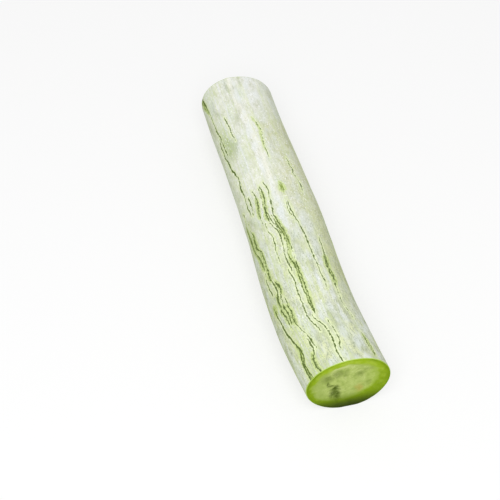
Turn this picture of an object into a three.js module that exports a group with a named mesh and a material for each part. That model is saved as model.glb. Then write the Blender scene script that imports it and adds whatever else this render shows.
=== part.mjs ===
// Snake gourd: a cut length of one fruit, lying on its side.
//
// Millimetres, +Z up. The fruit runs along Y, with its thicker cut end at -Y and its slimmer cut
// end at +Y. The origin is the middle of the bounding box's base, on the surface it lies on.
// It grew as one piece, so it is one solid.
import * as THREE from 'three';
import { mergeVertices } from 'three/addons/utils/BufferGeometryUtils.js';

// Driving dimensions.
const LENGTH = 262; // between the centres of the two cuts
const NEAR_RADIUS = 29; // at the thick end, -Y
const FAR_RADIUS = 27; // at the slim end, +Y
const BELLY = 0.45; // the middle is fuller than a straight taper by this much
const WAIST = 0.4; // and the thick half is fuller than the slim half
const LOBE = 0.5; // the round section is very slightly three-sided
const LOBE_TURN = THREE.MathUtils.degToRad(110);
const BENDS = [-2.7, -1.85, -1.0]; // sideways swing of the centre line: one, two and three half waves
const FLAT = 0.7; // how far the underside is pressed flat where it lies

// Each end was cut with a knife, not quite square: the slope of the cut across X and up Z.
const NEAR_CUT = { x: -0.07, z: 0.05 };
const FAR_CUT = { x: -0.185, z: 0.16 };
const CUT_REACH = 0.25; // share of the length over which the slope fades into the body

const SIDES = 48;
const RINGS = 40;

// Half waves along the length, from 0 at one end to 0 at the other.
const halfWave = (share, count) => Math.sin(Math.PI * count * share);

const taperAt = (share) => THREE.MathUtils.lerp(NEAR_RADIUS, FAR_RADIUS, share);

const radiusAt = (share) => taperAt(share) + BELLY * halfWave(share, 1) + WAIST * halfWave(share, 2);

const sidewaysAt = (share) => BENDS.reduce((sum, bend, i) => sum + bend * halfWave(share, i + 1), 0);

// 1 on a cut, falling smoothly to 0 where the cut's slope has faded out.
const nearnessTo = (distance) => Math.max(0, 1 - distance / CUT_REACH) ** 2;

// Moves one point of a unit cylinder (radius 1, height 1, along Y) to its place on the fruit.
function placeOnFruit(point) {
  const share = point.y + 0.5;
  const turn = Math.atan2(point.z, point.x);
  const radius = radiusAt(share);
  const reach = Math.hypot(point.x, point.z) * (radius + LOBE * Math.cos(3 * turn - LOBE_TURN));

  // The lowest line of the fruit lies along the surface, pressed into a flat strip.
  const centreHeight = radius - FLAT;
  const across = reach * Math.cos(turn);
  const up = Math.max(reach * Math.sin(turn), -centreHeight);

  const nearSlope = nearnessTo(share) * (NEAR_CUT.x * across + NEAR_CUT.z * up);
  const farSlope = nearnessTo(1 - share) * (FAR_CUT.x * across + FAR_CUT.z * up);
  return point.set(sidewaysAt(share) + across, point.y * LENGTH + nearSlope + farSlope, centreHeight + up);
}

function makeFruit() {
  const cylinder = new THREE.CylinderGeometry(1, 1, 1, SIDES, RINGS);
  cylinder.deleteAttribute('normal');
  cylinder.deleteAttribute('uv');
  const geometry = mergeVertices(cylinder);

  const places = geometry.getAttribute('position');
  const point = new THREE.Vector3();
  for (let i = 0; i < places.count; i += 1) {
    placeOnFruit(point.fromBufferAttribute(places, i));
    places.setXYZ(i, point.x, point.y, point.z);
  }

  // The base's middle becomes the origin.
  geometry.computeBoundingBox();
  const middle = geometry.boundingBox.getCenter(new THREE.Vector3());
  geometry.translate(-middle.x, -middle.y, 0);
  geometry.computeVertexNormals();
  return geometry;
}

const skin = new THREE.MeshStandardMaterial({ color: 0xc3ceb2, roughness: 0.55, metalness: 0 });

const fruit = new THREE.Mesh(makeFruit(), skin);
fruit.name = 'snake_gourd';

const group = new THREE.Group();
group.add(fruit);

export default group;
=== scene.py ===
# %% [markdown]
# # A cut length of snake gourd
#
# The real thing is one fruit: a pale, waxy, slightly bent log, sliced flat at both ends with a
# kitchen knife. Nothing on it is assembled, so the whole model is one closed skin. What makes it
# look real is the shape (taper, bends, soft lumps), the wavy green stripes, the whitish wax bloom
# between them, and the moist flesh on the two cuts.
#
# The frame that was made in CAD gives the size and the place. It is loaded first.

# %% Load the frame
import math
import random
from functools import partialmethod

import bpy
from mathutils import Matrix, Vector
from mathutils.bvhtree import BVHTree


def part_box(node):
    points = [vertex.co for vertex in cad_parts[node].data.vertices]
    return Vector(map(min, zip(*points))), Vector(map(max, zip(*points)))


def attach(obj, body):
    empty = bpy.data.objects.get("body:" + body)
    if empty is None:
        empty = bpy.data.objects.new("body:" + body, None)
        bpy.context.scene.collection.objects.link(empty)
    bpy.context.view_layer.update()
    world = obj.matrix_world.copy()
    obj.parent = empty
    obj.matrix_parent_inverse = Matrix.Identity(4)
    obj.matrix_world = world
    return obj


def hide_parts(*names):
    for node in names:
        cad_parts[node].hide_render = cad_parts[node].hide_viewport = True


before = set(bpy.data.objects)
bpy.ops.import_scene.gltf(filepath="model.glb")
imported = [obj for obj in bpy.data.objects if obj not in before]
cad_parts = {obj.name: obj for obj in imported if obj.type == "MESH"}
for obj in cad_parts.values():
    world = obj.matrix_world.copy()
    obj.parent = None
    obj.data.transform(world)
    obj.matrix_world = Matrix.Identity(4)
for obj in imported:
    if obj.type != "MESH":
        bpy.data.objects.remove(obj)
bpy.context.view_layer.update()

low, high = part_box("snake_gourd")
print("the CAD gourd measures", [round(1000 * (b - a), 1) for a, b in zip(low, high)], "mm")

# %% [markdown]
# ## Sizes
#
# Everything below is worked out in millimetres, because a kitchen vegetable is easier to think
# about in millimetres, and turned into Blender's metres once, at the end. The log runs along Y.
# A place on its skin has two numbers: how far *along* it is from the thick cut, and its *turn*
# round the log in degrees, with 0 on the right, 90 on top, 180 on the left and 270 underneath.

# %% Driving dimensions, the same as the CAD solid's
METRES = 0.001  # one millimetre

SIZES = {
    "Length": 262.0,  # between the centres of the two cuts
    "Near radius": 29.0,  # at the thick end, -Y
    "Far radius": 27.0,  # at the slim end, +Y
    "Belly": 0.45,  # the middle is fuller than a straight taper
    "Waist": 0.4,  # the thick half is fuller than the slim half
    "Lobe": 0.5,  # the round section is very slightly three-sided
    "Bend": -2.7,  # sideways swing of the centre line in one half wave
    "Sway": -1.85,  # and in two
    "Wriggle": -1.0,  # and in three
    "Flat": 0.7,  # how far the underside is pressed flat where it lies
    "Edge": 0.45,  # the knife's edge is rounded by this much
}
COUNTS = {"Turns": 288, "Rings along": 240, "Rings on a cut": 40, "Rings on an edge": 4}

LOBE_TURN = math.radians(110)
NEAR_CUT = {"x": -0.07, "z": 0.05}  # slope of the knife cut across X and up Z
FAR_CUT = {"x": -0.185, "z": 0.16}
CUT_REACH = 0.25  # share of the length over which a cut's slope fades into the body
CENTRING = (2.512, -2.112)  # brings the middle of the box over the origin

LENGTH = SIZES["Length"]
GIRTH = 2 * math.pi * 28.2  # round the log, half way along
SEAM = -90  # the turn where the sheet closes, underneath


def turn_share(turn):
    """A turn in degrees as a share of the way round, counted from the seam."""
    return (turn - SEAM) / 360


print("a log of", LENGTH, "mm, about", round(GIRTH), "mm round")

# %% [markdown]
# ## Camera
#
# The log lies down and the camera looks down on its thick end from the left. A long lens keeps
# the taper honest: a short one would make the near end look swollen.

# %% Camera
CAMERA_AZIMUTH, CAMERA_ELEVATION = math.radians(-16.7), math.radians(54.4)
CAMERA_DISTANCE = 0.9
CAMERA_TARGET = Vector((-0.0272, -0.0043, 0.0204))
LENS, SENSOR = 89.7, 36  # mm

camera = bpy.data.objects.new("camera", bpy.data.cameras.new("camera"))
bpy.context.collection.objects.link(camera)
bpy.context.scene.camera = camera
back = Vector((
    math.sin(CAMERA_AZIMUTH) * math.cos(CAMERA_ELEVATION),
    -math.cos(CAMERA_AZIMUTH) * math.cos(CAMERA_ELEVATION),
    math.sin(CAMERA_ELEVATION),
))
camera.location = CAMERA_TARGET + back * CAMERA_DISTANCE
camera.rotation_mode = "QUATERNION"
camera.rotation_quaternion = (-back).to_track_quat("-Z", "Y")
camera.data.lens = LENS
camera.data.sensor_width = SENSOR
camera.data.clip_start = 0.01
print("camera at", [round(v, 3) for v in camera.location])

# %% [markdown]
# ## Studio
#
# A white sheet on a table, one big soft lamp high on the left and an even white room. The wax
# bloom is nearly white itself, so the light stays low enough that it doesn't burn out. The sheet
# is white to the eye only: to the light that it throws back up it is a dull leaf green, as a
# kitchen table full of vegetables is, which keeps the gourd's flanks from going grey.

# %% Floor
SHEET_TONE = (0.93, 0.93, 0.93, 1)
BOUNCE_TONE = (0.50, 0.55, 0.34, 1)
WASHED_OUT = 0.65  # how much of the sheet is its own glow, which makes the shadow faint
FLOOR_HALF = 3.0  # m


def floor_material():
    """White paper to the eye, with a faint shadow, and dull green to the light it throws back."""
    material = bpy.data.materials.new("white_sheet")
    material.use_nodes = True
    nodes, links = material.node_tree.nodes, material.node_tree.links
    nodes.remove(nodes["Principled BSDF"])

    def node(node_type, **values):
        made = nodes.new(node_type)
        for name, value in values.items():
            made.inputs[name].default_value = value
        return made

    seen = node("ShaderNodeBsdfDiffuse", Color=SHEET_TONE)
    glow = node("ShaderNodeEmission", Color=(1, 1, 1, 1), Strength=1.0)
    washed = node("ShaderNodeMixShader", Fac=WASHED_OUT)
    links.new(seen.outputs[0], washed.inputs[1])
    links.new(glow.outputs[0], washed.inputs[2])
    bounced = node("ShaderNodeBsdfDiffuse", Color=BOUNCE_TONE)
    path = node("ShaderNodeLightPath")
    chosen = node("ShaderNodeMixShader")
    links.new(path.outputs["Is Camera Ray"], chosen.inputs["Fac"])
    links.new(bounced.outputs[0], chosen.inputs[1])
    links.new(washed.outputs[0], chosen.inputs[2])
    links.new(chosen.outputs[0], nodes["Material Output"].inputs["Surface"])
    return material


floor_mesh = bpy.data.meshes.new("floor")
corners = [(x * FLOOR_HALF, y * FLOOR_HALF, 0) for x, y in ((-1, -1), (1, -1), (1, 1), (-1, 1))]
floor_mesh.from_pydata(corners, [], [(0, 1, 2, 3)])
floor_mesh.materials.append(floor_material())
floor = bpy.data.objects.new("floor", floor_mesh)
bpy.context.collection.objects.link(floor)
print("floor", 2 * FLOOR_HALF, "m square")

# %% Lamp and room
KEY_PLACE = (-0.22, -0.55, 1.0)
KEY_SIZE = 0.8  # m
KEY_WATTS = 7.9
ROOM_LIGHT = 0.58  # strength of the room as a lamp
ROOM_SEEN = 1.0  # and as a background

light = bpy.data.lights.new("key", "AREA")
light.size = KEY_SIZE
light.energy = KEY_WATTS
lamp = bpy.data.objects.new("key", light)
bpy.context.collection.objects.link(lamp)
lamp.location = KEY_PLACE
lamp.rotation_mode = "QUATERNION"
lamp.rotation_quaternion = (-Vector(KEY_PLACE)).to_track_quat("-Z", "Y")  # towards the origin

world = bpy.data.worlds.new("room")
bpy.context.scene.world = world
world.use_nodes = True
room = world.node_tree
light_path = room.nodes.new("ShaderNodeLightPath")
seen = room.nodes.new("ShaderNodeMath")
seen.operation = "MAXIMUM"
room.links.new(light_path.outputs["Is Camera Ray"], seen.inputs[0])
room.links.new(light_path.outputs["Is Glossy Ray"], seen.inputs[1])
brightness = room.nodes.new("ShaderNodeMapRange")
brightness.inputs["To Min"].default_value = ROOM_LIGHT
brightness.inputs["To Max"].default_value = ROOM_SEEN
room.links.new(seen.outputs[0], brightness.inputs["Value"])
room.links.new(brightness.outputs[0], room.nodes["Background"].inputs["Strength"])
room.nodes["Background"].inputs["Color"].default_value = (1, 1, 1, 1)

bpy.context.scene.view_settings.view_transform = "Standard"
print("key lamp of", KEY_WATTS, "W and a room of strength", ROOM_LIGHT)

# %% [markdown]
# ## Formulas as nodes
#
# The shape and the markings both follow formulas. Formulas are hard to read as boxes and wires, so
# this small class lets Python arithmetic lay the boxes: adding two `Field`s puts an Add node in
# their tree and gives back its result as another `Field`. It works in geometry trees and in
# material trees alike, which lets one function carve a stripe into the mesh and also colour it.

# %% A number that varies over a surface
class Field:
    """One result in a node tree. Arithmetic on it adds the nodes that work out the answer."""

    def __init__(self, tree, socket):
        self.tree = tree
        self.socket = socket

    def math(self, operation, *others):
        """A Math node that takes this number first and the others after it."""
        node = self.tree.nodes.new("ShaderNodeMath")
        node.operation = operation
        for place, value in enumerate((self, *others)):
            feed(self.tree, node.inputs[place], value)
        return Field(self.tree, node.outputs[0])

    __add__ = partialmethod(math, "ADD")
    __radd__ = partialmethod(math, "ADD")
    __sub__ = partialmethod(math, "SUBTRACT")
    __mul__ = partialmethod(math, "MULTIPLY")
    __truediv__ = partialmethod(math, "DIVIDE")
    __pow__ = partialmethod(math, "POWER")
    __abs__ = partialmethod(math, "ABSOLUTE")
    sin = partialmethod(math, "SINE")
    cos = partialmethod(math, "COSINE")
    sqrt = partialmethod(math, "SQRT")
    at_least = partialmethod(math, "MAXIMUM")
    at_most = partialmethod(math, "MINIMUM")
    over = partialmethod(math, "GREATER_THAN")

    def __rsub__(self, other):
        return (self * -1) + other

    def __neg__(self):
        return self * -1

    def stretch(self, start, finish, low=0.0, high=1.0, soft=False):
        """Goes from low at start to high at finish, evenly or softly, and is level beyond."""
        node = self.tree.nodes.new("ShaderNodeMapRange")
        node.interpolation_type = "SMOOTHSTEP" if soft else "LINEAR"
        for place, value in enumerate((self, start, finish, low, high)):
            feed(self.tree, node.inputs[place], value)
        return Field(self.tree, node.outputs[0])

    def ease(self, start, finish, low=0.0, high=1.0):
        """The soft kind of stretch, for masks without a hard border."""
        return self.stretch(start, finish, low, high, soft=True)

    def curve(self, points):
        """Follows a smooth curve through (place, value) points and stays level beyond its ends."""
        node = self.tree.nodes.new("ShaderNodeFloatCurve")
        mapping = node.mapping
        mapping.use_clip = False
        mapping.extend = "HORIZONTAL"
        line = mapping.curves[0]
        while len(line.points) < len(points):
            line.points.new(0.5, 0.5)
        for point, place in zip(line.points, sorted(points)):
            point.location = place
            point.handle_type = "AUTO_CLAMPED"
        mapping.update()
        feed(self.tree, node.inputs["Value"], self)
        return Field(self.tree, node.outputs[0])


print("formula class ready")

# %% Wiring a socket, putting numbers side by side, and noise
def feed(tree, socket, value):
    """Wires a Field into a socket, or sets a plain number on it."""
    if isinstance(value, Field):
        tree.links.new(value.socket, socket)
    else:
        socket.default_value = value


def vector(x, y, z):
    """Three numbers side by side; at least one of them is a Field."""
    tree = next(part.tree for part in (x, y, z) if isinstance(part, Field))
    node = tree.nodes.new("ShaderNodeCombineXYZ")
    for place, value in enumerate((x, y, z)):
        feed(tree, node.inputs[place], value)
    return Field(tree, node.outputs[0])


def noise(where, size, detail, seed):
    """Cloudy values of about -1 to 1 in spots of the given size, in mm along X, Y and Z."""
    tree = where.tree
    scaled = tree.nodes.new("ShaderNodeVectorMath")
    scaled.operation = "DIVIDE"
    feed(tree, scaled.inputs[0], where)
    scaled.inputs[1].default_value = size
    node = tree.nodes.new("ShaderNodeTexNoise")
    node.noise_dimensions = "4D"
    tree.links.new(scaled.outputs[0], node.inputs["Vector"])
    node.inputs["W"].default_value = seed
    node.inputs["Scale"].default_value = 1.0
    node.inputs["Detail"].default_value = detail
    node.inputs["Roughness"].default_value = 0.5
    return (Field(tree, node.outputs[0]) - 0.5) * 3.0


def report(step, tree):
    """Says how far a tree has grown."""
    print(step + ":", len(tree.nodes), "nodes")


print("helpers ready")

# %% [markdown]
# ## Stripes
#
# A snake gourd's stripes are thin wavy dark lines, often two or three side by side with
# yellow-green skin between them. Each line is described like a road: a few places along the log,
# each with the turn of its middle and half its width there. The wider it is, the darker it gets. A
# width below 0 still leaves a pale trace, as the colours round a line reach past its edge. Olive
# spots are described the same way and lie under the lines. The side that lies below gets lines and
# spots of the same habit from a seeded generator, because nobody counts those.

# %% The lines on the upper side: (mm along, turn in degrees, half width in tenths of a mm)
LINES = {
    "left_long": [
        (262, 163, 8), (257, 162, 9), (253, 159.5, 7), (246, 157, 2), (236, 155, 2), (224, 153.5, 5),
        (219, 151, 5), (216, 156.5, 6), (212, 158, 5.5), (208, 157.3, 5.5), (204, 159, 6), (201, 157, 7),
        (197, 154.8, 7.5), (193, 154.2, 7), (188, 153.4, 6.5), (185, 150.5, 7), (181, 148.3, 6),
        (178, 145.8, 4), (175, 146.8, 4.5), (171, 148.4, 7), (168, 148.8, 7.5), (164, 148, 6),
        (160, 147, 3.5), (155, 148, 2.5), (149, 149, 3), (145, 147, 2.5), (141, 147, 1),
    ],
    "left_long_twin": [(216, 151, 1), (213, 150.6, 3.5), (209, 150.8, 3), (205, 150.4, 4), (201, 150.5, 1)],
    "beside_left_long": [
        (231, 131.5, 2), (226, 129.5, 3.5), (220, 128.5, 3), (215, 129.2, 3.5), (211, 127.6, 2.5),
        (208, 127, 1),
    ],
    "left_outer": [
        (150, 163.5, 1), (148, 162.7, 4), (145, 163, 1), (139, 167.5, 3), (135, 168.5, 4), (130, 167, 4),
        (127, 165.8, 5), (123, 164.7, 7), (119, 164.2, 5), (114, 161.5, 4), (110, 158.6, 4.5),
        (106, 155, 4), (103, 153.4, 4), (99, 152, 6), (96, 151.7, 2), (91, 152, 1), (86, 155, 3.5),
        (82, 154.2, 4), (78, 153.3, 3.5), (74, 151.3, 4), (72, 151, 1),
    ],
    "left_inner": [
        (138, 159.3, 1.5), (132, 158.8, 1.5), (128, 155, 4.5), (125, 153.4, 5), (121, 155, 5),
        (118, 154.2, 7), (114, 154, 6), (112, 151.7, 4), (110, 148.6, 4.5), (108, 145.8, 4),
        (104, 146, 3.5), (100, 145.8, 3.5), (95, 145.8, 2), (90, 145.4, 4.5), (86, 146.6, 5.5),
        (83, 145.6, 4), (80, 143.6, 4), (76, 141.8, 5), (72, 140.8, 4), (69, 142, 3.5), (66, 143.8, 2),
    ],
    "net_first": [
        (69, 144, 2), (65, 145, 5), (61, 144, 3.5), (59, 145.5, 4), (57, 145.8, 4.5), (54, 144.5, 4.5),
        (51, 142.5, 4), (48, 142, 4), (45, 142, 3), (42, 141.5, 2.5), (40, 141, 1),
    ],
    "net_second": [
        (80, 139.3, 2), (78, 138.5, 5), (76, 136.6, 6), (74, 135.1, 5), (71, 135, 4), (68, 137, 4),
        (65, 138.2, 3.5), (62, 138.6, 3), (58, 140, 4), (55, 138.5, 3.5), (53, 137.3, 5), (50, 137.3, 4),
        (47, 137.6, 3.5), (44, 137.5, 1),
    ],
    "net_third": [
        (64, 133.4, 1.5), (60, 133, 3), (56, 133.3, 3), (53, 131.9, 4.5), (51, 131.5, 5), (48, 133, 3.5),
        (46, 133.8, 3.5), (43, 133.2, 3), (41, 132.6, 3), (38, 131, 3), (35, 129.3, 2), (31, 126.3, 2),
        (28, 124.6, 2), (26, 123.6, 4), (24, 123.7, 3.5), (21, 122.9, 2.5), (18, 122.3, 1.5),
    ],
    "low_left": [
        (27, 127.2, 1.5), (25, 126.8, 4), (22, 127, 4.5), (19, 127, 3.5), (16, 127.9, 3.5),
        (14, 129.6, 4.5), (12, 132.6, 5.5), (8, 134.3, 6), (5, 135, 6), (3, 133.6, 5.5), (0, 131.9, 5),
    ],
    "left_low": [
        (60, 158, 3.5), (54, 156.5, 4), (50, 154.8, 5), (46, 154, 5.5), (42, 153.5, 5.5), (38, 152, 5.5),
        (34, 149.5, 5), (30, 148, 5), (27, 146.5, 6), (24, 145, 6), (21, 143.8, 5.5), (18, 145, 5),
        (14, 148, 5), (10, 149.5, 5), (6, 149, 5), (2, 147.5, 4.5), (0, 146.5, 4.5),
    ],
    "left_low_fork": [
        (22, 147, 2), (19, 149, 4), (14, 151, 5), (10, 152.5, 6), (6, 153.5, 5.5), (0, 153, 5),
    ],
    "short": [
        (156, 141.3, 1.5), (152, 140.3, 4), (148, 140.3, 3.5), (145, 141, 1.5), (142, 141.9, 2),
        (140, 142, 1),
    ],
    "faint_long": [
        (159, 131, 1.5), (154, 129.2, 4), (150, 128.5, 3.5), (146, 129.2, 3.5), (143, 129.7, 3.5),
        (139, 131.5, 2.5), (136, 132.5, 3), (132, 131.4, 1.5), (127, 130.2, 1.5),
    ],
    "hair_left": [
        (126, 126.5, 0.5), (122, 127, 1), (112, 122, 1.5), (104, 122.9, 2), (98, 123.6, 1.5),
        (91, 122.7, 1.5),
    ],
    "middle_left": [
        (159, 117.5, 2), (154, 116.8, 3.5), (150, 116.5, 3.5), (146, 117, 3), (143, 118.3, 3),
        (140, 120, 3.5), (135, 120.8, 3.5), (130, 120.7, 3), (126, 120.3, 2.5), (123, 118.6, 3),
        (120, 116.3, 3), (118, 113.9, 4), (115, 112.2, 3.5), (110, 111.2, 3.5), (106, 111.3, 3),
        (100, 112.2, 3), (94, 113.7, 3), (90, 113.2, 3), (86, 112.1, 3), (83, 111.3, 3), (80, 110.7, 1.5),
    ],
    "middle_left_below": [
        (82, 115.3, 2), (78, 114.2, 3.5), (74, 112.6, 4), (70, 112, 3.5), (67, 112.8, 3.5),
        (63, 113.6, 2.5), (56, 113.7, 2.5), (50, 114, 3), (44, 114.3, 3), (40, 113.6, 2.5), (37, 112.2, 2),
        (34, 110, 3), (31, 108, 3), (28, 106.3, 1),
    ],
    "middle_twin": [
        (157, 120.5, 3), (154, 120.6, 1), (140, 121.8, 1), (132, 118.3, 2.5), (128, 117.2, 3),
        (123, 114.4, 2.5), (120, 112, 2.5), (117, 111, 2), (112, 109, 1),
    ],
    "middle_wide": [
        (161, 110.5, 3), (158, 108.8, 4), (155, 107.3, 4.5), (152, 106.9, 3), (148, 108.5, 2),
        (145, 108.8, 3), (142, 109.3, 3.5), (138, 110.2, 3.5), (135, 110.6, 4), (131, 111.4, 2.5),
        (128, 110.2, 3), (125, 108.8, 3.5), (121, 107.6, 3.5), (118, 107.2, 4), (115, 104.6, 4),
        (111, 103.4, 3.5), (108, 102.7, 2.5), (104, 102.4, 1.5), (98, 101.4, 1), (90, 101.6, 0),
        (82, 102, 3.5), (78, 101.6, 3), (73, 101, 4), (67, 101, 3), (63, 101.6, 2.5), (60, 101, 3.5),
        (55, 102, 4), (50, 102.5, 3), (45, 103.2, 3.5), (42, 103.6, 2),
    ],
    "middle_wide_twin": [
        (130, 114, 1), (126, 112.4, 3), (120, 110.7, 3.5), (117, 109.6, 3), (114, 107.6, 3),
        (111, 106.6, 2), (106, 105.9, 1.5), (102, 105.9, 1.5), (98, 107.4, 1.5), (94, 108.5, 2.5),
        (90, 107.8, 4), (87, 105.9, 4), (82, 104.2, 3.5), (78, 104.8, 3), (74, 104.4, 4), (70, 104, 4),
        (66, 105.5, 3), (61, 105.3, 3.5), (57, 104.4, 3.5), (53, 105.4, 3), (48, 104.6, 2),
    ],
    "spot_line": [
        (143, 87, 0.5), (138, 87.6, 1.5), (134, 88.3, 2), (131, 88.6, 2.5), (127, 87.4, 2.5), (124, 86, 1),
    ],
    "long_right": [
        (138, 85.6, 1.5), (131, 85.2, 3), (127, 84.2, 3.5), (123, 83, 3), (119, 81.2, 3), (115, 79.8, 3),
        (112, 78.6, 4), (108, 77.4, 4), (104, 76.8, 4), (100, 76.4, 4), (95, 76, 3.5), (90, 75.8, 3.5),
        (85, 74.9, 3.5), (80, 74.6, 3), (73, 74.3, 3), (66, 73.3, 3), (62, 73.6, 2), (59, 74, 1),
    ],
    "right_upper": [
        (179, 60.4, 1.5), (176, 60.2, 3.5), (173, 60.4, 2), (168, 58.6, 3.5), (164, 59.6, 2.5),
        (161, 57, 2), (157, 55.4, 2), (153, 54.2, 3.5), (150, 54.6, 3), (147, 56, 2),
    ],
    "top_pale": [
        (222, 88.6, -2), (215, 84.6, 0.5), (208, 82.6, 0), (200, 85, 0.5), (191, 87.6, 2), (187, 87, 2),
        (182, 86.6, 0),
    ],
    "right_band": [
        (103, 56.8, 1.5), (100, 57, 2.5), (97, 56.5, 3), (93, 57.2, 3), (89, 57.8, 3.5), (84, 58.4, 4),
        (80, 59.2, 3.5), (76, 60.4, 3), (72, 60.6, 3.5), (68, 58, 4.5), (65, 57.8, 4), (62, 59.4, 3.5),
        (60, 60, 2.5), (55, 60.6, 2), (52, 60.8, 3), (48, 61.6, 2), (44, 60, 1), (40, 58, 1.5), (37, 56, 2),
        (34, 55, 1),
    ],
    "right_band_twin": [
        (86, 60.2, 1), (82, 60.6, 3.5), (78, 61.4, 3), (74, 57.4, 3), (71, 57, 3), (68, 57.3, 1),
    ],
    "right_low": [(22, 53.6, 1), (18, 53, 2.5), (12, 53.4, 2), (7, 52.6, 2.5), (5, 51, 3)],
    "right_low_twin": [(13, 49.6, 1.5), (8, 49.4, 2.5), (6, 50.4, 3)],
    "low_first": [
        (41, 108, 1), (37, 105.8, 2.5), (34, 102.6, 3), (31, 100, 3.5), (28, 98.6, 3.5), (24, 98, 4),
        (20, 97.8, 4), (16, 98.4, 4.5), (13, 99.6, 4.5), (10, 100.3, 4), (6, 100.2, 3.5), (3, 99.6, 4),
        (0, 98.6, 4),
    ],
    "low_second": [
        (34, 93, 1), (31, 91.6, 2), (28, 90.2, 2.5), (24, 89.5, 2.5), (20, 89.8, 3), (17, 90.6, 3.5),
        (15, 91.8, 4), (13, 93, 4), (11, 93.8, 2),
    ],
}
print(sum(len(line) for line in LINES.values()), "places on", len(LINES), "lines")

# %% The olive spots on the upper side, in the same way
SPOTS = {
    "left_outer": [
        (138, 168, 1), (131, 166.6, 9), (125, 165.4, 13), (119, 163.8, 10), (113, 161, 7), (107, 157.4, 3),
        (103, 154, 6), (99, 152.6, 11), (95, 152, 2),
    ],
    "left_inner": [
        (128, 155, 2), (123, 154.8, 10), (119, 154.8, 15), (114, 153.8, 12), (110, 149.6, 4),
        (106, 147.8, 8), (101, 147.4, 5), (95, 147, 2), (91, 146, 3), (87, 146.4, 7), (83, 145.4, 2),
    ],
    "net_top": [(79, 138.8, 1), (76, 136.8, 6), (72, 134.8, 5), (69, 135, 1)],
    "net_left": [
        (69, 144, 1), (65, 144.8, 5), (60, 145, 3), (56, 145.4, 5), (51, 142.6, 5), (47, 142.4, 5),
    ],
    "net_middle": [(59, 139.8, 2), (55, 138.6, 3), (52, 137.2, 5), (48, 137, 3), (44, 137, 1)],
    "net_right": [(57, 133.6, 2), (53, 132.6, 4), (50, 132.4, 5), (46, 133, 6), (42, 132.6, 3)],
    "low_left": [(15, 131, 2), (11, 133.4, 8), (7, 134.4, 9), (3, 133.4, 8), (0, 132, 7)],
    "left_low": [(65, 157.6, 4), (63, 157, 14), (61, 156.6, 17), (58, 157.6, 4)],
    "left_low_below": [
        (28, 146.4, 3), (23, 145.6, 7), (19, 147.6, 9), (14, 149.6, 9), (9, 151, 8), (4, 150.5, 10),
        (0, 150, 12),
    ],
    "faint_long": [(150, 129, 2), (146, 129.8, 4), (140, 131.6, 5), (135, 132.8, 3)],
    "middle_left": [(153, 116.9, 0), (149, 116.8, 2), (145, 117.6, 2), (142, 119.2, 0)],
    "middle_left_below": [(141, 119.4, 0), (138, 119.4, 4), (134, 122.2, 3), (130, 122.2, 0)],
    "middle_wide": [
        (127, 109.4, -3), (121, 107.6, 2), (117, 106.8, 8), (114, 105.8, 14), (111, 104.6, 7),
        (108, 103.4, 9), (105, 103, 4), (101, 104, 1), (97, 104.4, -2), (92, 107, 0), (89, 106.8, 6),
        (86, 106, 9), (83, 103.8, 8), (80, 102.6, 3), (75, 102.8, 8), (71, 102.8, 8), (67, 101.4, 5),
        (61, 102.4, 2), (56, 102.4, 5), (50, 103, 2), (46, 103.6, -3),
    ],
    "spot": [(156.5, 86.4, 0), (154, 86, 8), (151, 85.8, 14), (149, 86, 11), (147.5, 86, 0)],
    "left_end": [(262, 168, 12), (257, 166, 16), (252, 163, 9), (247, 159, 0)],
    "top_pale": [(222, 90, -11), (215, 86, -8), (210, 84.2, -6), (202, 86.4, -6), (190, 88.6, -8)],
    "right_band": [
        (87, 58.4, 2), (83, 58.9, 10), (78, 59.6, 9), (75, 59.4, 5), (71, 58.2, 11), (67, 57.6, 10),
        (63, 58.4, 3),
    ],
    "right_low": [(20, 53, -6), (17, 52, 0), (13, 51.2, -3), (8, 51, -1), (4, 52, -4)],
}
FADED = -2.0  # mm, the half width past the two ends, where nothing is drawn
FADE_LENGTH = 2.5  # mm over which an end fades
print(sum(len(spot) for spot in SPOTS.values()), "places on", len(SPOTS), "spots")

# %% The side that lies below, from a seed
def grown_stripe(dice, turn):
    """One line and its olive spot near this turn. It wanders and thickens in one stretch."""
    start = dice.uniform(-40, 200)
    finish = start + dice.uniform(60, 150)
    steps = 11
    thick_at = dice.uniform(0.2, 0.8)
    thickness = dice.choice((0.2, 0.4, 0.8, 1.2))
    line, spot = [], []
    drift = 0
    for step in range(steps):
        share = step / (steps - 1)
        drift += dice.uniform(-2.6, 2.6)
        along = start + share * (finish - start)
        swelling = max(0.0, 1 - 4 * abs(share - thick_at))
        line.append((along, turn + drift, dice.uniform(-0.1, 0.4) + swelling * 0.2))
        spot.append((along, turn + drift + swelling, swelling * (thickness + 0.6) - 0.6))
    return line, spot


def in_mm(stripe):
    """A listed stripe with its half widths in mm."""
    return [(along, turn, tenths / 10) for along, turn, tenths in stripe]


HIDDEN_TURNS = (*range(-82, 26, 6), *range(182, 268, 6))
dice = random.Random(12)
grown = [grown_stripe(dice, turn + dice.uniform(-2, 2)) for turn in HIDDEN_TURNS]
lines = [in_mm(line) for line in LINES.values()] + [line for line, _ in grown]
spots = [in_mm(spot) for spot in SPOTS.values()] + [spot for _, spot in grown]
print(len(grown), "more lines and as many spots below")

# %% The distance to the nearest of them, as a formula
def nearest_edge(stripes, share, around):
    """Millimetres from the nearest stripe's edge to this place on the skin; below 0 inside it."""
    nearest = None
    for stripe in stripes:
        stripe = sorted(stripe)
        ends = [(stripe[0][0] - FADE_LENGTH, FADED), (stripe[-1][0] + FADE_LENGTH, FADED)]
        middle = share.curve([(along / LENGTH, turn_share(turn)) for along, turn, _ in stripe])
        widths = [(along, half) for along, _, half in stripe]
        widths += [(along, half) for along, half in ends if 0 < along < LENGTH]
        half = share.curve([(along / LENGTH, half) for along, half in widths])
        edge = abs(around - middle) * GIRTH - half
        nearest = edge if nearest is None else nearest.at_most(edge)
    return nearest


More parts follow.
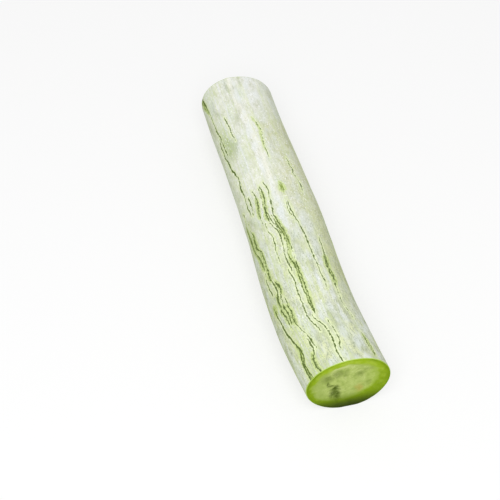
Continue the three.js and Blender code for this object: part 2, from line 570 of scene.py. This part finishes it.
def on_cylinder(share, around):
    """The same place on an even cylinder, in millimetres, where noise has no seam."""
    angle = around * (2 * math.pi) + math.radians(SEAM)
    radius = GIRTH / (2 * math.pi)
    return vector(angle.cos() * radius, share * LENGTH, angle.sin() * radius)


def ragged(share, around, place):
    """The same place, pushed a little to and fro, which makes what is drawn there ragged."""
    slow = noise(place, (5, 8, 5), detail=1, seed=3)
    quick = noise(place, (1.2, 2.0, 1.2), detail=2, seed=8)
    return share + quick * (0.5 / LENGTH), around + slow * (0.3 / GIRTH) + quick * (0.7 / GIRTH)


print("stripe formulas ready")

# %% [markdown]
# ## The crest
#
# Along the top of the slim half runs a long, very soft fold with the thickest bloom and a painted
# highlight on it. It is described like a stripe, because it is both a shape and a paler colour.

# %% A soft fold along the top: (along mm, turn degrees)
CREST = [(262, 104), (240, 102), (215, 97), (190, 95.5), (165, 97.5), (130, 98)]
CREST_HEIGHT = 0.3  # mm


def crest_mask(share, around, half_width):
    """1 along the crest's line, and 0 half a width in mm away from it and on the thick half."""
    middle = share.curve([(along / LENGTH, turn_share(turn)) for along, turn in CREST])
    return (abs(around - middle) * GIRTH).ease(half_width, 0) * share.ease(0.5, 0.62)


print("a crest", CREST_HEIGHT, "mm high")

# %% [markdown]
# ## The cuts
#
# Inside is a firm rim, then spongy pulp with cavities where the seeds sat. They run the length of
# the fruit, so both cuts show them in the same places. The pulp dries and sinks a little below the
# rim, and the cavities are deeper.

# %% Seed cavities: place across the cut in mm, size in mm and how deep
CAVITIES = [
    ((-13.6, 2.6), (1.1, 4.2), 0.8),
    ((-11.6, -0.6), (3.0, 1.8), 0.75),
    ((-8.4, -4.6), (2.6, 4.6), 1.0),
    ((-10.8, -11.0), (1.8, 5.5), 0.85),
    ((-7.0, -12.5), (2.2, 6.0), 0.95),
    ((-8.8, -9.0), (3.8, 7.5), 0.9),
    ((-14.0, 8.6), (4.6, 5.0), 0.5),
    ((-7.4, 12.6), (4.0, 5.4), 0.5),
    ((-2.0, 11.0), (2.2, 5.0), 0.3),
    ((8.0, 8.5), (3.4, 4.0), 0.4),
    ((13.0, 13.0), (3.4, 2.2), 0.25),
    ((14.0, -4.0), (2.4, 4.2), 0.25),
]
CAVITY_RAGGED = 1.7  # mm, how far noise pushes a cavity's border
PULP_SINK = 0.4  # mm
CAVITY_DEPTH = 1.0  # mm
NOISE_GAP = 40.0  # mm between the two cuts' places in the noise, so that their grain differs


def cavity_depth(x, z, place):
    """0 on sound pulp, up to 1 in the deepest cavity."""
    ragged_x = x + noise(place, (3, 3, 3), detail=3, seed=20) * CAVITY_RAGGED
    ragged_z = z + noise(place, (3, 3, 3), detail=3, seed=30) * CAVITY_RAGGED
    deepest = None
    for (cx, cz), (wide, tall), depth in CAVITIES:
        off = (((ragged_x - cx) / wide) ** 2 + ((ragged_z - cz) / tall) ** 2).sqrt()
        hollow = off.ease(1.5, 0.1, 0.0, depth)
        deepest = hollow if deepest is None else deepest.at_least(hollow)
    return deepest


def pulp_share(across, up, radius, place):
    """1 on the pulp and 0 on the firm rim, which is thickest on the lower right."""
    reach = (across ** 2 + up ** 2).sqrt() / radius
    turn = up.math("ARCTAN2", across)
    border = 0.71 + (turn - 2.37).cos() * 0.11 + ((turn - 0.46) * 2).cos() * 0.06
    uneven = reach + noise(place, (7, 7, 7), detail=3, seed=40) * 0.07
    return (uneven - border).ease(0.08, -0.1)


print(len(CAVITIES), "seed cavities")

# %% [markdown]
# ## The skin as one wrapped sheet
#
# The mesh is a flat grid that Geometry Nodes wraps into a closed bag. Its rows go from the middle
# of the thick cut out to its edge, along the log, and in to the middle of the slim cut. Its columns
# go once round. Every point is placed by the same formula as the CAD solid, plus the soft lumps, the
# crest, the sunken stripes and the relief of the cuts, which are real shape and not a trick of the
# shading. A grid was chosen over a sculpted cylinder because it follows the fibres of the fruit.

# %% The geometry tree's inputs and the plain grid
tree = bpy.data.node_groups.new("grow_snake_gourd", "GeometryNodeTree")
tree.interface.new_socket("Geometry", in_out="OUTPUT", socket_type="NodeSocketGeometry")
sockets = {}
for name in SIZES:
    sockets[name] = tree.interface.new_socket(name, in_out="INPUT", socket_type="NodeSocketFloat")
for name in COUNTS:
    sockets[name] = tree.interface.new_socket(name, in_out="INPUT", socket_type="NodeSocketInt")
group_input = tree.nodes.new("NodeGroupInput")
size = {name: Field(tree, group_input.outputs[name]) for name in sockets}

turns, along_rings = size["Turns"], size["Rings along"]
cut_rings, edge_rings = size["Rings on a cut"], size["Rings on an edge"]
body_start = cut_rings + edge_rings
body_end = body_start + along_rings
rows = body_end + body_start

grid = tree.nodes.new("GeometryNodeMeshGrid")
feed(tree, grid.inputs["Vertices X"], rows + 1)
feed(tree, grid.inputs["Vertices Y"], turns + 1)
position = tree.nodes.new("GeometryNodeInputPosition")
parts = tree.nodes.new("ShaderNodeSeparateXYZ")
tree.links.new(position.outputs[0], parts.inputs[0])
row = (Field(tree, parts.outputs["X"]) + 0.5) * rows
around = Field(tree, parts.outputs["Y"]) + 0.5
print("inputs", list(sockets))

# %% Where each row lies: how far along, and how far out from the middle
reach = row.stretch(0, cut_rings).at_most((rows - row).stretch(0, cut_rings))
distance = (
    row.stretch(cut_rings, body_start, 0, size["Edge"])
    + row.stretch(body_start, body_end, 0, size["Length"] - size["Edge"] * 2)
    + row.stretch(body_end, body_end + edge_rings, 0, size["Edge"])
)
share = distance / size["Length"]
to_cut = distance.at_most(size["Length"] - distance).at_most(size["Edge"])
rounding = size["Edge"] - (size["Edge"] ** 2 - (size["Edge"] - to_cut) ** 2).sqrt()
report("rows placed", tree)

# %% Soft lumps, the crest and the sunken stripes, in mm outwards
cylinder_place = on_cylinder(share, around)
lumps = noise(cylinder_place, (38, 55, 38), detail=1, seed=1) * 0.5
dimples = noise(cylinder_place, (10, 17, 10), detail=2, seed=2) * 0.13
sunken = nearest_edge(lines, *ragged(share, around, cylinder_place)).ease(1.2, -0.2) * 0.1
crest = crest_mask(share, around, 5.0) * CREST_HEIGHT
relief = lumps + dimples + crest - sunken
report("relief added", tree)

# %% The fruit's formula
angle = around * (2 * math.pi) + math.radians(SEAM)
half_wave = share * math.pi
radius = (
    share.stretch(0, 1, size["Near radius"], size["Far radius"])
    + size["Belly"] * half_wave.sin()
    + size["Waist"] * (half_wave * 2).sin()
)
sideways = (
    size["Bend"] * half_wave.sin()
    + size["Sway"] * (half_wave * 2).sin()
    + size["Wriggle"] * (half_wave * 3).sin()
)
outside = radius + size["Lobe"] * (angle * 3 - LOBE_TURN).cos() + relief - rounding
centre_height = radius - size["Flat"]
across = reach * outside * angle.cos()
up = (reach * outside * angle.sin()).at_least(-centre_height)
near_slope = share.stretch(0, CUT_REACH, 1, 0) ** 2 * (across * NEAR_CUT["x"] + up * NEAR_CUT["z"])
far_slope = share.stretch(1, 1 - CUT_REACH, 1, 0) ** 2 * (across * FAR_CUT["x"] + up * FAR_CUT["z"])
report("formula written", tree)

# %% Relief of the cuts, and each point's final place
flesh_place = vector(across, share * NOISE_GAP, up)
on_cut = reach.stretch(0.97, 1.0, 1, 0)
pulp = pulp_share(across, up, radius, flesh_place)
grainy = noise(flesh_place, (1.6, 1.6, 1.6), detail=2, seed=50) * 0.06
sink = (pulp * (grainy + PULP_SINK) + cavity_depth(across, up, flesh_place) * CAVITY_DEPTH) * on_cut
inwards = sink * share.stretch(0.4, 0.6, 1, -1)

final_place = vector(
    (sideways + across + CENTRING[0]) * METRES,
    ((share - 0.5) * size["Length"] + near_slope + far_slope + inwards + CENTRING[1]) * METRES,
    (centre_height + up) * METRES,
)
report("cuts carved", tree)

# %% [markdown]
# The sheet is also given two flat maps before its seam is closed. `Surface` keeps each place's own
# coordinates, share along and share round, or millimetres across a cut, for the materials to read.
# `OFBake` is a tidy layout for baked colours: the skin as one rectangle, the cuts as two discs.

# %% Maps on the sheet
BAKE_WIDTH = 0.98  # of the layout, for the log's length
BAKE_SCALE = BAKE_WIDTH / LENGTH
DISC_U = (0.16, 0.5)  # middles of the two discs
DISC_V = 0.845
BAKE_MARGIN = 0.01


def on_domain(field, domain):
    """The field worked out on faces, points or corners and read from there."""
    node = tree.nodes.new("GeometryNodeFieldOnDomain")
    node.domain = domain
    feed(tree, node.inputs[0], field)
    return Field(tree, node.outputs[0])


def choose(selection, if_true, if_false):
    """The first value where the selection is 1 and the second where it is 0."""
    return selection * if_true + (1 - selection) * if_false


face_row = on_domain(row, "FACE")
is_near = (cut_rings - face_row).over(0)
is_far = (face_row - (rows - cut_rings)).over(0)
is_cut = is_near.at_least(is_far)
disc_u = choose(is_near, *DISC_U) + across * BAKE_SCALE
disc_v = up * BAKE_SCALE + DISC_V
bake_u = choose(is_cut, disc_u, share * BAKE_WIDTH + BAKE_MARGIN)
bake_v = choose(is_cut, disc_v, around * (GIRTH * BAKE_SCALE) + BAKE_MARGIN)
surface_u = choose(is_cut, across, share)
surface_v = choose(is_cut, up, around)


def store_map(geometry, name, u, v):
    """Keeps u and v on the face corners as a named map."""
    node = tree.nodes.new("GeometryNodeStoreNamedAttribute")
    node.data_type = "FLOAT2"
    node.domain = "CORNER"
    node.inputs["Name"].default_value = name
    tree.links.new(geometry, node.inputs["Geometry"])
    tree.links.new(vector(u, v, 0.0).socket, node.inputs["Value"])
    return node.outputs["Geometry"]


mapped = store_map(grid.outputs["Mesh"], "Surface", surface_u, surface_v)
mapped = store_map(mapped, "OFBake", bake_u, bake_v)
report("maps stored", tree)

# %% Wrap the sheet, close it and give it its two finishes
skin = bpy.data.materials.new("waxy_skin")
flesh = bpy.data.materials.new("cut_flesh")
CLOSE_GAP = 0.02 * METRES  # points closer than this become one, which closes seam and poles


def then(node_type, geometry, **settings):
    """The next node on the geometry's way, with its sockets set by name. Gives back the node."""
    node = tree.nodes.new(node_type)
    tree.links.new(geometry, node.inputs["Geometry"])
    for name, value in settings.items():
        feed(tree, node.inputs[name.replace("_", " ")], value)
    return node


keep_face = then("GeometryNodeCaptureAttribute", mapped)
keep_face.domain = "FACE"
keep_face.capture_items.new("FLOAT", "On a cut")
feed(tree, keep_face.inputs["On a cut"], is_cut)
on_a_cut = Field(tree, keep_face.outputs["On a cut"])

wrapped = then("GeometryNodeSetPosition", keep_face.outputs["Geometry"], Position=final_place)
closed = then("GeometryNodeMergeByDistance", wrapped.outputs["Geometry"], Distance=CLOSE_GAP)
smooth = then("GeometryNodeSetShadeSmooth", closed.outputs["Geometry"])
real = then("GeometryNodeRealizeInstances", smooth.outputs["Geometry"])
skinned = then("GeometryNodeSetMaterial", real.outputs["Geometry"], Material=skin)
sliced = then(
    "GeometryNodeSetMaterial", skinned.outputs["Geometry"], Material=flesh, Selection=on_a_cut
)
group_output = tree.nodes.new("NodeGroupOutput")
tree.links.new(sliced.outputs["Geometry"], group_output.inputs["Geometry"])
report("the whole growing tree", tree)

# %% Grow it and keep the result as a plain mesh
grower = bpy.data.objects.new("grower", bpy.data.meshes.new("grower"))
bpy.context.collection.objects.link(grower)
modifier = grower.modifiers.new("grow", "NODES")
modifier.node_group = tree
for name, value in {**SIZES, **COUNTS}.items():
    modifier[sockets[name].identifier] = value

evaluated = grower.evaluated_get(bpy.context.evaluated_depsgraph_get())
mesh = bpy.data.meshes.new_from_object(evaluated)
mesh.name = "snake_gourd_fruit"
mesh.materials.pop(index=0)  # the bare grid's empty slot; the faces' numbers move up with it
bpy.data.objects.remove(grower)
fruit = bpy.data.objects.new("snake_gourd_fruit", mesh)
bpy.context.collection.objects.link(fruit)

triangles = sum(len(face.vertices) - 2 for face in mesh.polygons)
print(len(mesh.vertices), "points,", triangles, "triangles")
print("finishes", [m.name for m in mesh.materials], "maps", [m.name for m in mesh.uv_layers])

# %% Compare it with the CAD solid
cad_mesh = bpy.data.objects["snake_gourd"].data
cad_tree = BVHTree.FromPolygons(
    [v.co for v in cad_mesh.vertices], [tuple(face.vertices) for face in cad_mesh.polygons]
)
SAMPLE_STEP = 37
gaps = [cad_tree.find_nearest(vertex.co)[3] for vertex in list(mesh.vertices)[::SAMPLE_STEP]]
print("farthest from the CAD solid:", round(1000 * max(gaps), 2), "mm")

# %% [markdown]
# ## Paint
#
# Colours are written as on a colour chart, 0 to 255, and turned into the linear values that Blender
# mixes. Each finish starts from one colour and has others painted over it through masks.

# %% Painting helpers
def chart(red, green, blue):
    """A colour chart's values as Blender's linear colour."""
    def linear(value):
        value /= 255
        return value / 12.92 if value <= 0.04045 else ((value + 0.055) / 1.055) ** 2.4
    return (linear(red), linear(green), linear(blue), 1.0)


def paint(base, colour, mask):
    """Base with the colour laid over it where the mask is 1."""
    node = mask.tree.nodes.new("ShaderNodeMix")
    node.data_type = "RGBA"
    feed(mask.tree, node.inputs[0], mask)
    feed(mask.tree, node.inputs[6], base)
    feed(mask.tree, node.inputs[7], colour)
    return Field(mask.tree, node.outputs[2])


def coats(base, *layers):
    """Base under several (colour, mask) layers, the last one on top."""
    for colour, mask in layers:
        base = paint(base, colour, mask)
    return base


def surface_map(tree):
    """The sheet's own coordinates at this place."""
    node = tree.nodes.new("ShaderNodeUVMap")
    node.uv_map = "Surface"
    split = tree.nodes.new("ShaderNodeSeparateXYZ")
    tree.links.new(node.outputs["UV"], split.inputs[0])
    return Field(tree, split.outputs["X"]), Field(tree, split.outputs["Y"])


def start_material(material):
    """The material's tree and its main shader."""
    material.use_nodes = True
    return material.node_tree, material.node_tree.nodes["Principled BSDF"]


def bump(tree, height):
    """Normals for a height in mm."""
    node = tree.nodes.new("ShaderNodeBump")
    node.inputs["Distance"].default_value = METRES
    feed(tree, node.inputs["Height"], height)
    return Field(tree, node.outputs["Normal"])


print("paint ready")

# %% A group that both finishes use: clouds of three sizes and fine grain
MOTTLE_SPOTS = {  # mm along X, Y and Z
    "Large": (34, 58, 34),
    "Middle": (11, 19, 11),
    "Small": (3.4, 6.0, 3.4),
    "Grain": (0.7, 1.2, 0.7),
}


def mottle_group():
    """The group itself, built once: a place goes in and one noise of each size comes out."""
    group = bpy.data.node_groups.new("mottle", "ShaderNodeTree")
    group.interface.new_socket("Place", in_out="INPUT", socket_type="NodeSocketVector")
    for name in MOTTLE_SPOTS:
        group.interface.new_socket(name, in_out="OUTPUT", socket_type="NodeSocketFloat")
    inside = group.nodes.new("NodeGroupInput")
    outside = group.nodes.new("NodeGroupOutput")
    place = Field(group, inside.outputs["Place"])
    for seed, (name, spots) in enumerate(MOTTLE_SPOTS.items()):
        feed(group, outside.inputs[name], noise(place, spots, detail=2, seed=60 + seed))
    return group


MOTTLE = mottle_group()


def mottle(tree, place):
    """The group placed in a material, as its four noises from large to grain."""
    node = tree.nodes.new("ShaderNodeGroup")
    node.node_tree = MOTTLE
    feed(tree, node.inputs["Place"], place)
    return [Field(tree, node.outputs[name]) for name in MOTTLE_SPOTS]


print("mottle gives", list(MOTTLE_SPOTS))

# %% [markdown]
# ## Waxy skin
#
# The skin is deep green underneath. A whitish wax bloom covers it, thick in some places and thin in
# others, and the stripes are where there's least of it. Fine fibres run lengthwise. The stripes'
# lines are broken, as if drawn with a dry brush.
#
# It is painted in layers, from the bloom up. A layer's mask is a noise or a distance passed through
# `ease`: `ease(a, b)` is 0 up to a, 1 from b on and soft in between, or the other way round if b is
# the smaller. Masks multiplied together are 1 only where all of them are.

# %% Skin colours
BLOOM_THICK = chart(250, 249, 245)
CREST_BLOOM_HIGHLIGHT = chart(255, 254, 238)  # on the crest: thick bloom and a painted highlight
BLOOM_COOL = chart(229, 236, 232)
BLOOM_THIN = chart(194, 202, 168)
BLOOM_YELLOW = chart(224, 230, 182)
SHADED_SIDE = chart(206, 211, 160)  # painted shade: the right side, turned from the lamp, darker and warmer
FLECK = chart(253, 254, 253)
CREASE = chart(160, 170, 142)
GREEN_STREAK = chart(182, 197, 144)
TINT = chart(214, 226, 166)  # widest round a stripe
HALO = chart(236, 246, 198)  # close round a stripe
BED = chart(203, 221, 140)  # round an olive spot
OLIVE = chart(140, 163, 58)
LINE = chart(88, 108, 38)
CUT_EDGE = chart(180, 208, 96)
print("the line's green in linear values:", [round(part, 3) for part in LINE[:3]])

# %% The skin's noises, from broad clouds down to fibres
tree, shader = start_material(skin)
share, around = surface_map(tree)
place = on_cylinder(share, around)
large, middle, small, grain = mottle(tree, place)
cool_clouds = noise(place, (10, 18, 10), detail=1, seed=72)
yellow_clouds = noise(place, (7, 12, 7), detail=1, seed=77)
clouds = noise(place, (4.5, 8.0, 4.5), detail=1, seed=79)
streaks = noise(place, (2.6, 30.0, 2.6), detail=2, seed=71)
crinkle = noise(place, (1.8, 3.6, 1.8), detail=3, seed=75)
specks = noise(place, (1.0, 1.6, 1.0), detail=1, seed=78)
fibres = noise(place, (0.6, 6.0, 0.6), detail=3, seed=70)
report("noises", tree)

# %% Thin bloom on the handled thick half, painted shade down the right side, and painted shade and light by the thick cut
NEAR_TOP = turn_share(97.2)
worn = share.stretch(0.25, 0.65, 1.0, 0.2)
side_top = share.ease(0.4, 0.55, 0.44, 0.51)
# Painted shade: the right side, turned from the lamp, is darker and warmer over most of the length.
shaded_side = (side_top - around).ease(-0.01, 0.06) * around.ease(0.1, 0.25)
shaded_side = shaded_side * share.ease(0.1, 0.3) * share.ease(0.95, 0.8)
# Painted shade and light near the thick cut: less bloom makes the top darker, and more bloom makes the
# sides lighter.
near_cut_painted_shading = share.ease(0.22, 0.02) * (abs(around - NEAR_TOP).ease(0.05, 0.17) - 0.75) * 0.8
bloom = large * 0.3 + middle * 0.5 + clouds * 0.5 + small * 0.4 + crinkle * 0.4 - worn * 0.8
bloom = bloom.stretch(-1.2, 0.15) + near_cut_painted_shading
report("bloom masks", tree)

# %% Paint the bloom
# The crest: thick bloom and a painted highlight along the fold.
crest = crest_mask(share, around + small * 0.003, 4.0)
broken = (clouds * 0.5 + small * 0.5).ease(-0.6, 0.3, 0.4, 0.9)
colour = coats(
    BLOOM_THIN,
    (BLOOM_THICK, bloom),
    (BLOOM_COOL, cool_clouds.ease(-0.15, 0.4) * 0.6),
    (BLOOM_YELLOW, yellow_clouds.ease(-0.05, 0.5) * worn * 0.8),
    # painted shade on the right side
    (SHADED_SIDE, shaded_side * (clouds + small * 0.6).ease(-0.6, 0.6, 0.25, 0.85)),
    (CREST_BLOOM_HIGHLIGHT, crest * broken),
)
report("bloom painted", tree)

# %% Streaks, one green patch, creases and fibres
PATCH_ALONG = 212  # mm
PATCH_ROUND = turn_share(142.2)
PATCH_SIZE = (20, 9)  # mm along and round
streaked = streaks.ease(0.1, 0.9) * share.ease(0.3, 0.1, 0.4, 0.7)
shaded = (streaks * 0.9 + middle * 0.6 + small * 0.3).ease(0.0, -1.2) * share.ease(0.6, 0.8)
patch_along = (share * LENGTH - PATCH_ALONG) / PATCH_SIZE[0]
patch_round = (around - PATCH_ROUND) * (GIRTH / PATCH_SIZE[1])
from_patch = (patch_along ** 2 + patch_round ** 2).sqrt() + middle * 0.4
patch = from_patch.ease(1.2, 0.2) * (small + clouds).ease(-0.6, 0.5, 0.45, 1.0)
creased = abs(crinkle).ease(0.16, 0.0) * small.ease(-0.5, 0.5) * (worn + 0.15)
fibrous = (grain + fibres).ease(0.0, 0.8) * (worn + share.ease(0.3, 0.1, 0.35, 0.7))

colour = coats(
    colour,
    (GREEN_STREAK, streaked),
    (CREASE, shaded * 0.6),
    (GREEN_STREAK, patch),
    (CREASE, creased * 0.75),
    (CREASE, fibrous * 0.7),
)
report("streaks and creases painted", tree)

# %% How far each place is from the stripes, in mm
stripe_place = ragged(share, around, place)
dry_brush = noise(place, (0.9, 1.9, 0.9), detail=2, seed=73)
patches = noise(place, (2.6, 5, 2.6), detail=2, seed=76)
line_edge = nearest_edge(lines, *stripe_place) - dry_brush * 0.5 - patches * 0.15 - 0.02
spot_edge = nearest_edge(spots, *stripe_place) - dry_brush * 0.5
nearby = line_edge.at_most(spot_edge)
report("stripes measured", tree)

# %% Masks of the stripes
# Cool clean bloom away from the stripes, kept off the side with painted shade.
clean = nearby.ease(1.2, 3.6) * (middle + clouds).ease(-0.5, 0.5) * (1 - shaded_side)
tint = nearby.ease(3.4, 0.6) * (middle + patches * 0.5).ease(-0.7, 0.5)
halo = nearby.ease(1.5, 0.3) * patches.ease(-0.5, 0.4, 0.4, 1.0)
bed = spot_edge.ease(2.2, 0.9)
spot = spot_edge.ease(0.2, -0.6) * (patches * 0.6 + dry_brush).ease(-0.6, 0.5, 0.1, 1.0)
squiggles = abs(noise(place, (1.5, 3.0, 1.5), detail=1, seed=74)).ease(0.26, 0.08)
squiggles = squiggles * spot_edge.ease(1.2, 0.5)
line = line_edge.ease(0.22, -0.14)
report("stripe masks", tree)

# %% Paint the stripes over the bloom
colour = coats(
    colour,
    (BLOOM_COOL, clean * 0.6),
    (TINT, tint * 0.55),
    (HALO, halo * 0.85),
    (FLECK, specks.ease(0.15, 0.6) * bloom * 0.9),
    (BED, bed * 0.7),
    (OLIVE, spot),
    (LINE, squiggles * 0.5),
    (LINE, line),
)
report("stripes painted", tree)

# %% Skin finish: the knife's green edge, gloss and fine relief
EDGE_WIDTH = 0.6 / LENGTH
to_cut = share.at_most(1 - share)
colour = paint(colour, CUT_EDGE, to_cut.ease(EDGE_WIDTH, EDGE_WIDTH / 3))

feed(tree, shader.inputs["Base Color"], colour)
feed(tree, shader.inputs["Roughness"], bloom.stretch(0, 1, 0.44, 0.56) - line * 0.08)
relief = fibres * 0.03 + crinkle * 0.06 + small * 0.06 + grain * 0.03
feed(tree, shader.inputs["Normal"], bump(tree, relief))
report("the whole skin", tree)

# %% [markdown]
# ## Cut flesh
#
# Lime green and firm at the rim, pale and spongy inside, with dark green hollows where the seeds
# sat. Freshly cut flesh is moist, so it's a little smoother than the skin, but it drinks in light,
# so its shine is low. One seed's coat shows in the thick cut. Towards its foot the flesh is darker,
# which is painted shade, and the top of the rim and the pulp's upper border have painted light.

# %% Flesh colours
RIM_GREEN = chart(164, 194, 30)
RIM_DEEP = chart(130, 160, 0)
RIM_BRIGHT = chart(192, 216, 76)
PULP = chart(194, 210, 124)
PULP_GREEN = chart(166, 186, 96)
PULP_PALE = chart(220, 230, 158)
HOLLOW = chart(74, 94, 8)
SEED_COAT = chart(192, 168, 76)
# painted shade for the foot of the cuts
LOW_SHADE = chart(46, 60, 0)
print("the rim's green in linear values:", [round(part, 3) for part in RIM_GREEN[:3]])

# %% Where each place is on its cut, and what grows there
tree, shader = start_material(flesh)
across, up = surface_map(tree)
coordinates = tree.nodes.new("ShaderNodeTexCoord")
split = tree.nodes.new("ShaderNodeSeparateXYZ")
tree.links.new(coordinates.outputs["Object"], split.inputs[0])
which_cut = Field(tree, split.outputs["Y"]).over(0)  # 0 on the thick cut, 1 on the slim one
cut_radius = which_cut.stretch(0, 1, SIZES["Near radius"], SIZES["Far radius"])
reach = (across ** 2 + up ** 2).sqrt() / cut_radius
height = up / cut_radius
place = vector(across, which_cut * NOISE_GAP, up)
_, _, small, grain = mottle(tree, place)
threads = noise(place, (1.4, 1.4, 1.4), detail=3, seed=52)
cloud = noise(place, (6, 6, 6), detail=3, seed=53)
pulp = pulp_share(across, up, cut_radius, place)
hollow = cavity_depth(across, up, place)
report("flesh masks", tree)

# %% Paint the rim
# Partly painted light and shade: the rim is lighter towards the top and darker towards the bottom. Its
# clouds, darker sides and outer edge are its own tone.
rim_tone_and_painted_shade = cloud * 0.6 - height * 0.35 + abs(across) / cut_radius * 0.5
rim_tone_and_painted_shade = rim_tone_and_painted_shade + reach.ease(0.9, 1.0) * 0.5
rim_tone_and_painted_light = cloud + small * 0.5 + height * 0.5 - reach.ease(0.85, 1.0)
colour = coats(
    RIM_GREEN,
    (RIM_DEEP, rim_tone_and_painted_shade.ease(-0.3, 0.8)),
    (RIM_BRIGHT, rim_tone_and_painted_light.ease(-0.3, 0.9) * 0.7),
)
report("rim painted", tree)

# %% Paint the pulp
# Painted highlight along the upper border of the pulp.
pulp_border_highlight = pulp * (1 - pulp) * height.ease(0.2, 0.6) * abs(across + 6).ease(9, 3)
colour = coats(
    colour,
    (PULP, pulp),
    (PULP_GREEN, pulp * (small * 0.5 + cloud * 0.9).ease(-0.1, 0.5) * 0.8),
    (PULP_PALE, pulp * (threads * 0.8 - cloud * 0.8).ease(0.0, 0.7) * 0.7),
    (PULP_PALE, pulp_border_highlight * 4),
    (RIM_GREEN, pulp * across.ease(8, 22) * 0.5),
    (PULP_GREEN, pulp * across.ease(-11, -20) * 0.6),
)
report("pulp painted", tree)

# %% Paint the seed, the hollows and the painted shade at the foot
SEED_PLACE = (7.8, -7.5)  # mm across and up
SEED_SIZE = (3.4, 5.0)
seed_across = (across - SEED_PLACE[0]) / SEED_SIZE[0]
seed_up = (up - SEED_PLACE[1]) / SEED_SIZE[1]
from_seed = (seed_across ** 2 + seed_up ** 2).sqrt() + small * 0.7
seed = from_seed.ease(1.4, 0.0) * (1 - which_cut)
# Painted shade: each cut grows darker towards its foot, the slim cut less so.
foot = (height + cloud * 0.05).ease(-0.4, -0.94) * which_cut.stretch(0, 1, 0.95, 0.4)

colour = coats(
    colour,
    (SEED_COAT, seed * 0.6),
    # painted shade, a deep green first step towards the foot
    (RIM_DEEP, (height + cloud * 0.1).ease(-0.25, -0.75) * 0.8),
    (HOLLOW, hollow * (threads + small).ease(0.8, -0.4, 0.75, 1.0)),
    (LOW_SHADE, foot),
)
report("hollows painted", tree)

# %% Flesh finish
feed(tree, shader.inputs["Base Color"], colour)
feed(tree, shader.inputs["Roughness"], pulp.stretch(0, 1, 0.36, 0.5))
shader.inputs["Specular IOR Level"].default_value = 0.1
feed(tree, shader.inputs["Normal"], bump(tree, grain * 0.06 + small * 0.05))
report("the whole flesh", tree)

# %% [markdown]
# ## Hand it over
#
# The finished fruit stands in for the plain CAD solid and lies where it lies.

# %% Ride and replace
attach(fruit, "root")
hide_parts("snake_gourd")
